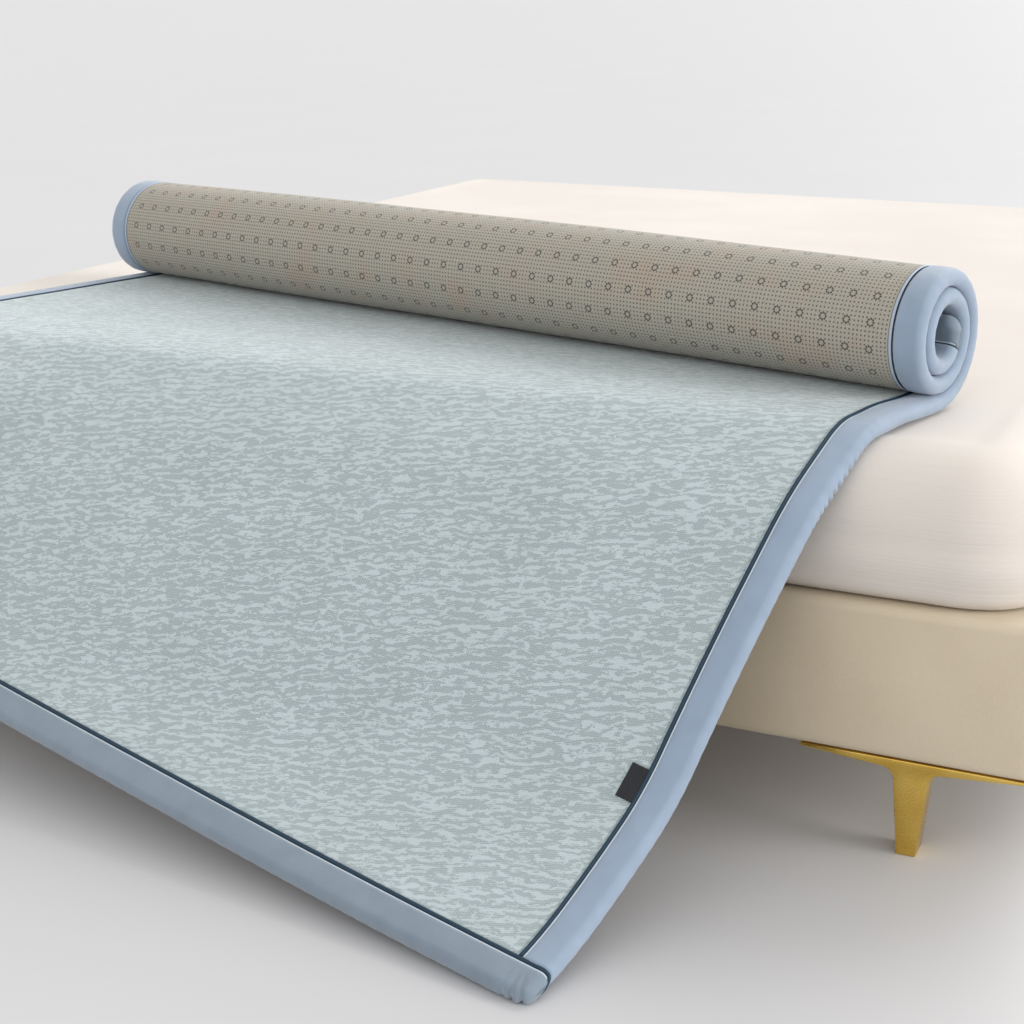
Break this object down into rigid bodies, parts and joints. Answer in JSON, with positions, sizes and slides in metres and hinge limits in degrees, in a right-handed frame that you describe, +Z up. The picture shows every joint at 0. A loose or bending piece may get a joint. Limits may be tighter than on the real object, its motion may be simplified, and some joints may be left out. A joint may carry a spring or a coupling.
{
  "type": "baby crawling mat on a mattress and bed base",
  "caption": "Padded rectangular mat, partly rolled up with its backing outside, sloping over the edge of a plain mattress and upholstered bed base down to the floor.",
  "frame": {"origin": "centre of the whole object's footprint, on the floor", "axes": "+X to the right along the bed's front edge, +Y from the mat's front corner towards the bed's far side, +Z up"},
  "size_m": [1.96, 2.899, 0.6618],
  "materials": {
    "jacquard": "woven, matt",
    "felt": "felted with printed grip dots, matt",
    "binding": "plain smooth weave, soft sheen",
    "cord": "corded piping, matt",
    "tab": "woven tab, matt",
    "sheet": "smooth cotton, matt",
    "upholstery": "smooth upholstery, matt",
    "brass": "brushed gold"
  },
  "bodies": {
    "root": {"mat_top": "jacquard", "mat_backing": "felt", "binding_right": "binding", "binding_left": "binding", "binding_front": "binding", "binding_far": "binding", "piping_right_top": "cord", "piping_right_back": "cord", "piping_left_top": "cord", "piping_left_back": "cord", "piping_front": "cord", "piping_far": "cord", "label": "tab", "mattress": "sheet", "bed_base": "upholstery", "leg_front_right": "brass", "leg_front_left": "brass", "leg_back_right": "brass", "leg_back_left": "brass"}
  },
  "joints": []
}
